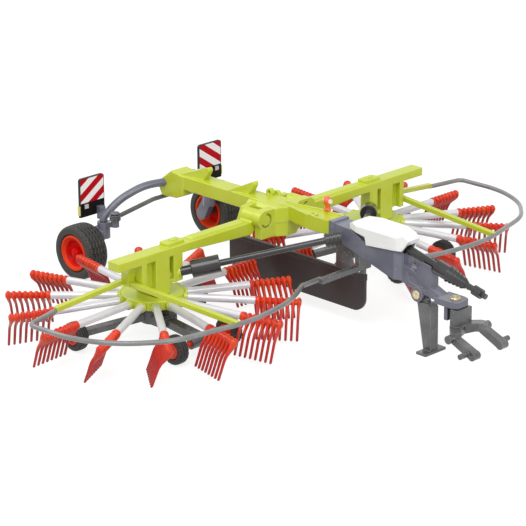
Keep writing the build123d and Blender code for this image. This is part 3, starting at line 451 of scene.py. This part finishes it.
# ---------------------------------------------------------------- rules for repeats and round pieces
class Pattern:
    """A geometry tree with named sizes, which repeats a shape or turns a grid into a round one."""

    def __init__(self, name, sizes, counts=(), shapes=()):
        self.tree = bpy.data.node_groups.new(name, "GeometryNodeTree")
        face = self.tree.interface
        for label in shapes:
            face.new_socket(label, in_out="INPUT", socket_type="NodeSocketObject")
        for label in sizes:
            face.new_socket(label, in_out="INPUT", socket_type="NodeSocketFloat")
        for label in counts:
            face.new_socket(label, in_out="INPUT", socket_type="NodeSocketInt")
        face.new_socket("Finish", in_out="INPUT", socket_type="NodeSocketMaterial")
        face.new_socket("Mesh", in_out="OUTPUT", socket_type="NodeSocketGeometry")
        self.given = self.tree.nodes.new("NodeGroupInput")
        self.result = self.tree.nodes.new("NodeGroupOutput")

    def node(self, kind):
        return self.tree.nodes.new(kind)

    def link(self, start, end):
        self.tree.links.new(start, end)

    def size(self, label):
        return Field(self.tree, self.given.outputs[label])

    def grid(self, round_label, across_label):
        """A grid whose corners run from 0 to 1 both ways, with those two fields."""
        grid = self.node("GeometryNodeMeshGrid")
        grid.inputs["Size X"].default_value = 1.0
        grid.inputs["Size Y"].default_value = 1.0
        self.link(self.given.outputs[round_label], grid.inputs["Vertices X"])
        self.link(self.given.outputs[across_label], grid.inputs["Vertices Y"])
        place = self.node("GeometryNodeInputPosition")
        x, y, z = split(self.tree, place.outputs[0])
        return grid.outputs["Mesh"], x + 0.5, y + 0.5

    def place(self, mesh, x, y, z):
        """Moves every corner of the grid to the place that three fields give."""
        joined = self.node("ShaderNodeCombineXYZ")
        for slot, value in enumerate((x, y, z)):
            self.link(value.socket, joined.inputs[slot])
        move = self.node("GeometryNodeSetPosition")
        self.link(mesh, move.inputs["Geometry"])
        self.link(joined.outputs[0], move.inputs["Position"])
        merge = self.node("GeometryNodeMergeByDistance")
        merge.inputs["Distance"].default_value = 0.004 * MM
        self.link(move.outputs["Geometry"], merge.inputs["Geometry"])
        return merge.outputs["Geometry"]

    def row(self, mesh, count_label, spacing_label):
        """Copies the piece along X."""
        offset = self.node("ShaderNodeCombineXYZ")
        self.link(self.given.outputs[spacing_label], offset.inputs[0])
        line = self.node("GeometryNodeMeshLine")
        self.link(self.given.outputs[count_label], line.inputs["Count"])
        self.link(offset.outputs[0], line.inputs["Offset"])
        copies = self.node("GeometryNodeInstanceOnPoints")
        self.link(line.outputs["Mesh"], copies.inputs["Points"])
        self.link(mesh, copies.inputs["Instance"])
        return copies.outputs["Instances"]

    def shape(self, label):
        """The mesh of a given object."""
        info = self.node("GeometryNodeObjectInfo")
        self.link(self.given.outputs[label], info.inputs["Object"])
        return info.outputs["Geometry"]

    def ring(self, mesh, count_label, phase_label, droop_label):
        """Copies the piece round the Z axis, each turned down by the droop."""
        spots = self.node("GeometryNodeMeshLine")
        self.link(self.given.outputs[count_label], spots.inputs["Count"])
        spots.inputs["Offset"].default_value = (0, 0, 0)
        index = self.node("GeometryNodeInputIndex")
        step = self.size(count_label).join("POWER", -1) * (2 * pi)
        turn = Field(self.tree, index.outputs[0]) * step + self.size(phase_label)
        angles = self.node("ShaderNodeCombineXYZ")
        self.link(self.given.outputs[droop_label], angles.inputs[1])
        self.link(turn.socket, angles.inputs[2])
        copies = self.node("GeometryNodeInstanceOnPoints")
        self.link(spots.outputs["Mesh"], copies.inputs["Points"])
        self.link(mesh, copies.inputs["Instance"])
        self.link(angles.outputs[0], copies.inputs["Rotation"])
        return copies.outputs["Instances"]

    def keep(self, mesh, name, value):
        """Keeps a field on the mesh under a name, for a finish to read."""
        store = self.node("GeometryNodeStoreNamedAttribute")
        store.data_type = "FLOAT"
        store.domain = "POINT"
        store.inputs["Name"].default_value = name
        self.link(mesh, store.inputs["Geometry"])
        self.link(value.socket, store.inputs["Value"])
        return store.outputs["Geometry"]

    def finish(self, geometry):
        """Ends the tree: real faces, smooth, in the finish that is asked for."""
        real = self.node("GeometryNodeRealizeInstances")
        self.link(geometry, real.inputs[0])
        smooth = self.node("GeometryNodeSetShadeSmooth")
        self.link(real.outputs[0], smooth.inputs["Geometry"])
        coat = self.node("GeometryNodeSetMaterial")
        self.link(smooth.outputs[0], coat.inputs["Geometry"])
        self.link(self.given.outputs["Finish"], coat.inputs["Material"])
        self.link(coat.outputs[0], self.result.inputs[0])

    def make(self, name, slot, move=None, **sizes):
        """A plain mesh piece with these sizes, moved to its place."""
        blank = bpy.data.objects.new(name + "_rule", bpy.data.meshes.new(name + "_rule"))
        bpy.context.collection.objects.link(blank)
        modifier = blank.modifiers.new("rule", "NODES")
        modifier.node_group = self.tree
        given = {"Finish": FINISHES[slot], **sizes}
        for item in self.tree.interface.items_tree:
            if item.in_out == "INPUT":
                modifier[item.identifier] = given[item.name.replace(" ", "_")]
        view = bpy.context.evaluated_depsgraph_get()
        mesh = bpy.data.meshes.new_from_object(blank.evaluated_get(view))
        bpy.data.objects.remove(blank)
        if move is not None:
            mesh.transform(move)
        piece = bpy.data.objects.new(name, mesh)
        bpy.context.collection.objects.link(piece)
        return piece


def tyre_pattern():
    """A tyre about the X axis: wavy ribs on its tread and short blocks on its shoulders."""
    rule = Pattern("tyre_rule", ("Radius", "Bore", "Width", "Rib Pitch", "Rib Depth", "Wave",
                                 "Block Depth", "Spacing"),
                   ("Steps Round", "Steps Across", "Waves", "Blocks", "Count"))
    mesh, round_part, across_part = rule.grid("Steps Round", "Steps Across")
    turn = round_part * (2 * pi)
    ring = across_part * (2 * pi)
    radius = rule.size("Radius")
    bore = rule.size("Bore")
    half = rule.size("Width") * 0.5
    aside = ring.sine()
    bulge = (aside.size().join("POWER", 3.6) * -1 + 1).join("POWER", 0.25)
    outwards = bulge * ring.cosine().join("SIGN")
    middle = (radius + bore) * 0.5
    reach = (radius - bore) * 0.5
    across = half * aside
    sway = (turn * rule.size("Waves")).sine() * rule.size("Wave")
    groove = ((across + sway) / rule.size("Rib Pitch") * (2 * pi)).cosine().ramp(-0.35, -0.8)
    tread = outwards.ramp(0.84, 0.94)
    gap = (turn * rule.size("Blocks") + across / half).sine().ramp(0.2, 0.7)
    shoulder = aside.size().ramp(0.78, 0.86) * outwards.ramp(0.45, 0.7)
    dip = groove * tread * (shoulder * -1 + 1)
    notch = gap * shoulder
    out = middle + reach * outwards - dip * rule.size("Rib Depth") - notch * rule.size("Block Depth")
    side = across * ((notch * rule.size("Block Depth") / half) * -0.4 + 1)
    # the grooves' depth, from which the rubber finish paints highlight on the rib edges and shade in
    # the grooves
    marked = rule.keep(mesh, "groove", dip + notch * 0.7)
    shape = rule.place(marked, side, out * turn.sine(), out * turn.cosine())
    rule.finish(rule.row(shape, "Count", "Spacing"))
    return rule


def comb_pattern():
    """The combs of one rotor: beaded tines in a row on a bar, and the bars round the hub."""
    rule = Pattern("comb_rule", ("First", "Pitch", "Phase", "Droop"), ("Tines", "Arms"),
                   ("Tine", "Bar"))
    moved = rule.node("GeometryNodeTransform")
    start = rule.node("ShaderNodeCombineXYZ")
    rule.link(rule.given.outputs["First"], start.inputs[0])
    rule.link(rule.row(rule.shape("Tine"), "Tines", "Pitch"), moved.inputs["Geometry"])
    rule.link(start.outputs[0], moved.inputs["Translation"])
    both = rule.node("GeometryNodeJoinGeometry")
    rule.link(moved.outputs["Geometry"], both.inputs[0])
    rule.link(rule.shape("Bar"), both.inputs[0])
    rule.finish(rule.ring(both.outputs[0], "Arms", "Phase", "Droop"))
    return rule


def crimp_pattern():
    """The crimped end of a tubular rivet, about Z: petals round a hollow."""
    rule = Pattern("crimp_rule", ("Radius", "Height", "Spacing"),
                   ("Steps Round", "Steps Across", "Petals", "Count"))
    mesh, round_part, across_part = rule.grid("Steps Round", "Steps Across")
    turn = round_part * (2 * pi)
    petal = (turn * rule.size("Petals")).cosine()
    rim = rule.size("Radius") * (petal * 0.07 + 0.93)
    out = rim * (across_part * 0.92 + 0.08)
    crown = (across_part * pi).sine().bent(0.6)
    fold = (petal * 0.3 + 0.7) * rule.size("Height")
    height = crown * fold - across_part.ramp(0.3, 0.0) * rule.size("Height")
    shape = rule.place(mesh, out * turn.cosine(), out * turn.sine(), height)
    rule.finish(rule.row(shape, "Count", "Spacing"))
    return rule


# ---------------------------------------------------------------- skins through rings
def oval(centre, one, two, sides):
    """Points round an oval, from its centre and its two half axes in millimetres."""
    points = []
    for k in range(sides):
        turn = 2 * pi * k / sides
        points.append((Vector(centre) + Vector(one) * cos(turn) + Vector(two) * sin(turn)) * MM)
    return points


def loft(name, rings):
    """A closed skin through rings of points."""
    mesh = bpy.data.meshes.new(name)
    shape = bmesh.new()
    rows = [[shape.verts.new(point) for point in ring] for ring in rings]
    count = len(rows[0])
    for one, two in zip(rows, rows[1:]):
        for k in range(count):
            shape.faces.new((one[k], one[(k + 1) % count], two[(k + 1) % count], two[k]))
    shape.faces.new(rows[0][::-1])
    shape.faces.new(rows[-1])
    bmesh.ops.recalc_face_normals(shape, faces=shape.faces)
    shape.to_mesh(mesh)
    shape.free()
    return bpy.data.objects.new(name, mesh)


def add_skin(name, rings, place, finish, body, sharp):
    """A piece made of rings and moved to its place; edges past an angle stay sharp."""
    piece = loft(name, rings)
    piece.data.transform(place)
    piece.data.materials.append(FINISHES[finish])
    piece.data.shade_smooth()
    piece.data.set_sharp_from_angle(angle=radians(sharp))
    bpy.context.collection.objects.link(piece)
    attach(piece, body)
    return piece


# ---------------------------------------------------------------- combs
def tine_shape(lean):
    """One tine that hangs from the bar: an egg-shaped bead drawn out into a slim round finger."""
    rings = []
    for z, rear, front, half in TINE:
        centre = (0, lean * (rear + front) / 2, z)
        reach = lean * (front - rear) / 2
        rings.append(oval(centre, (0, reach, 0), (half, 0, 0), TINE_SIDES))
    return loft("tine", rings)


def bar_shape():
    """The bar that carries the tines, with a collar where the arm goes in."""
    return loft("comb_bar", [oval((x, 0, 0), (0, radius, 0), (0, 0, radius), BAR_SIDES)
                             for x, radius in BAR])


def make_combs():
    """The combs of both rotors; the tines lean the other way on the other side."""
    rule = comb_pattern()
    bar = bar_shape()
    for side, s in SIDES:
        x, y, z = middle(*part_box("rotor_axle_" + side))
        hub = Matrix.Translation((x, y, ARM_ROOT * MM))
        tine = tine_shape(s)
        piece = rule.make("combs_" + side, "orange_red_plastic", hub, First=FIRST_TINE * MM,
                          Pitch=TINE_PITCH * MM, Phase=radians(ARM_PHASE[side]),
                          Droop=radians(ARM_DROOP), Tines=8, Arms=14, Tine=tine, Bar=bar,
                          Finish=FINISHES["comb_red"])
        bpy.data.objects.remove(tine)
        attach(piece, "rotor_" + side)
        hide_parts("tine_combs_" + side)
    bpy.data.objects.remove(bar)


# ---------------------------------------------------------------- tyres
def make_tyres():
    """The wide ribbed rear tyres and the small blocky ones under each rotor."""
    rule = tyre_pattern()
    bodies = {"front_small_tyres": "front_wheels", "small_tyre_outer": "outer_wheel",
              "small_tyre_inner": "inner_wheel"}
    small_low, small_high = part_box("small_tyre_outer_left")
    small_width = small_high[0] - small_low[0]
    for side, s in SIDES:
        low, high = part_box("rear_tyre_" + side)
        radius = (high[2] - low[2]) / 2
        width = high[0] - low[0]
        rim_low, rim_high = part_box("rear_rim_" + side)
        bore = (rim_high[2] - rim_low[2]) / 2 - 0.05 * MM
        piece = rule.make("rear_tread_" + side, "tyre_rubber", Matrix.Translation(middle(low, high)),
                          Radius=radius, Bore=bore, Width=width, Rib_Pitch=1.7 * MM,
                          Rib_Depth=0.6 * MM, Wave=0.26 * MM, Block_Depth=0.2 * MM, Spacing=0.0,
                          Steps_Round=281, Steps_Across=161, Waves=26, Blocks=66, Count=1)
        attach(piece, "rear_wheel_" + side)
        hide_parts("rear_tyre_" + side)
        for node, body in bodies.items():
            low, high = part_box(node + "_" + side)
            radius = (high[2] - low[2]) / 2
            spacing = high[0] - low[0] - small_width
            centre = (low[0] + small_width / 2, (low[1] + high[1]) / 2, (low[2] + high[2]) / 2)
            piece = rule.make(node.replace("tyre", "tread") + "_" + side, "tyre_rubber",
                              Matrix.Translation(centre), Radius=radius, Bore=0.55 * radius,
                              Width=small_width, Rib_Pitch=1.1 * MM, Rib_Depth=0.3 * MM,
                              Wave=0.0, Block_Depth=0.35 * MM, Spacing=spacing, Steps_Round=120,
                              Steps_Across=48, Waves=20, Blocks=20,
                              Count=2 if spacing > small_width else 1)
            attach(piece, body + "_" + side)
            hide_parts(node + "_" + side)


# ---------------------------------------------------------------- rims, latch and rivets
def rim_outline(radius, width):
    """Depth behind the outer face and distance from the axis, from hub cap to bore."""
    cap = [(0.5, 0.02), (0.55, 1.1), (0.85, 1.8), (1.6, 2.15), (3.1, 2.35), (3.4, 2.8)]
    dish = [(3.4, 3.3), (3.2, 3.0), (1.9, 2.5), (1.45, 2.2), (1.3, 1.6), (0.5, 1.15)]
    lip = [(0.1, 0.95), (0.0, 0.7), (0.05, 0.3), (0.3, 0.0)]
    back = [(0.2, 0.0), (0.0, 0.3), (0.1, 1.0), (0.5, 1.2), (4.6, 1.4)]
    boss = [(4.7, 2.75), (4.0, 2.6), (3.9, 2.4), (3.9, STUB_R)]
    bore = [(1.05, STUB_R), (1.0, 0.02)]
    outline = list(cap)
    outline += [(depth, radius - inwards) for depth, inwards in dish + lip]
    outline += [(width - forwards, radius - inwards) for forwards, inwards in back]
    outline += [(width - forwards, reach) for forwards, reach in boss]
    return outline + bore


def make_rims():
    """Rear rims: a rounded lip, a step, a deep dish and a capped hub."""
    for side, s in SIDES:
        low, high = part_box("rear_rim_" + side)
        width = (high[0] - low[0]) / MM
        outline = rim_outline((high[2] - low[2]) / 2 / MM, width)
        rings = [oval((s * (width / 2 - depth), 0, 0), (0, reach, 0), (0, 0, reach), RIM_SIDES)
                 for depth, reach in outline]
        piece = add_skin("rim_" + side, rings, Matrix.Translation(middle(low, high)), "rim_red",
                         "rear_wheel_" + side, 38)
        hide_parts("rear_rim_" + side)


def make_latch():
    """The latch lever: a flat stem that widens into a round head, with a pale pin through it."""
    low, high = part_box("latch_lever")
    x, y, z = middle(low, high)
    foot = Matrix.Translation((x, y, low[2]))
    stem = [oval((0, 0, up), (wide, 0, 0), (0, deep, 0), LEVER_SIDES) for up, wide, deep in LEVER]
    pin = [oval((0, along, LEVER_EYE), (radius, 0, 0), (0, 0, radius), LEVER_SIDES)
           for along, radius in LEVER_PIN]
    lever = add_skin("latch", stem, foot, "orange_plastic", "frame", 40)
    add_skin("latch_pin", pin, foot, "white_plastic", "frame", 40)
    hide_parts("latch_lever")


def make_crimps():
    """Crimped rivet ends: one upright on the clevis and one on each side of the stand's pivot."""
    rule = crimp_pattern()
    sizes = dict(Spacing=0.0, Steps_Round=97, Steps_Across=17, Petals=6, Count=1)
    low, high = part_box("hitch_rivet")
    x, y, z = middle(low, high)
    top = Matrix.Translation((x, y, high[2] - 0.1 * MM))
    piece = rule.make("hitch_crimp", "rivet_metal", top, Radius=(high[0] - low[0]) / 2,
                      Height=0.45 * MM, **sizes)
    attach(piece, "frame")
    low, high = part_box("stand_rivet")
    x, y, z = middle(low, high)
    for side, s in SIDES:
        end = high[0] if s > 0 else low[0]
        place = Matrix.Translation((end - s * 0.1 * MM, y, z))
        piece = rule.make("stand_crimp_" + side, "rivet_metal",
                          place @ Matrix.Rotation(s * pi / 2, 4, "Y"),
                          Radius=(high[2] - low[2]) / 2, Height=0.4 * MM, **sizes)
        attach(piece, "frame")


make_combs()
make_tyres()
make_rims()
make_latch()
make_crimps()
# the knuckles are painted like the axle tubes that carry them
for side, s in SIDES:
    frame["nodes"]["wheel_knuckle_" + side].data.materials[0] = FINISHES["steel_grey_paint"]


# ---------------------------------------------------------------- floor, light and camera
def seen_directly(tree):
    """1 for what the eye sees straight on, in a mirror or through glass, and 0 for soft light."""
    path = tree.nodes.new("ShaderNodeLightPath")
    ray = Field(tree, path.outputs["Is Camera Ray"])
    ray = ray.join("MAXIMUM", Field(tree, path.outputs["Is Glossy Ray"]))
    return ray.join("MAXIMUM", Field(tree, path.outputs["Is Transmission Ray"]))


def stage_floor():
    """A white floor: its own glow makes it white, and its paint still takes a soft shadow."""
    mesh = bpy.data.meshes.new("floor")
    reach = 6.0
    mesh.from_pydata([(-reach, -reach, 0), (reach, -reach, 0), (reach, reach, 0),
                      (-reach, reach, 0)], [], [(0, 1, 2, 3)])
    floor = bpy.data.objects.new("floor", mesh)
    bpy.context.collection.objects.link(floor)
    material = bpy.data.materials.new("white_floor")
    material.use_nodes = True
    tree = material.node_tree
    shader = tree.nodes["Principled BSDF"]
    shader.inputs["Roughness"].default_value = 0.9
    shader.inputs["Specular IOR Level"].default_value = 0.0
    shader.inputs["Emission Color"].default_value = (1, 1, 1, 1)
    seen = seen_directly(tree)
    tree.links.new((seen * FLOOR_GLOW).socket, shader.inputs["Emission Strength"])
    paint = tree.nodes.new("ShaderNodeMix")
    paint.data_type = "RGBA"
    paint.inputs["A"].default_value = (0.5, 0.5, 0.5, 1)
    paint.inputs["B"].default_value = (0.3, 0.3, 0.3, 1)
    tree.links.new(seen.socket, paint.inputs["Factor"])
    tree.links.new(paint.outputs["Result"], shader.inputs["Base Color"])
    mesh.materials.append(material)


def stage_lights():
    """White all round, and soft boxes: one high on the left, one in front and one behind."""
    world = bpy.data.worlds.new("studio")
    bpy.context.scene.world = world
    world.use_nodes = True
    tree = world.node_tree
    sky = tree.nodes["Background"]
    sky.inputs["Color"].default_value = (1, 1, 1, 1)
    level = seen_directly(tree) * (1 - SOFT_SKY) + SOFT_SKY
    tree.links.new(level.socket, sky.inputs["Strength"])
    for name, size, energy, place in SOFT_BOXES:
        lamp = bpy.data.lights.new(name, "AREA")
        lamp.size = size
        lamp.energy = energy
        box = bpy.data.objects.new(name, lamp)
        box.location = place
        aim = Vector((0, 0, 0)) - box.location
        box.rotation_euler = aim.to_track_quat("-Z", "Y").to_euler()
        bpy.context.collection.objects.link(box)


def stage_camera():
    """A long lens from the front right, 20 degrees up."""
    camera = bpy.data.cameras.new("camera")
    camera.sensor_width = 36.0
    camera.lens = CAMERA_LENS
    camera.clip_start = 0.01
    viewer = bpy.data.objects.new("camera", camera)
    viewer.location = CAMERA_PLACE
    turn = Euler((radians(90 - CAMERA_DOWN), 0, radians(CAMERA_LEFT))).to_matrix()
    viewer.rotation_euler = (turn @ Matrix.Rotation(CAMERA_ROLL, 3, "Z")).to_euler()
    bpy.context.collection.objects.link(viewer)
    bpy.context.scene.camera = viewer


stage_floor()
stage_lights()
stage_camera()
bpy.context.scene.view_settings.view_transform = "Standard"
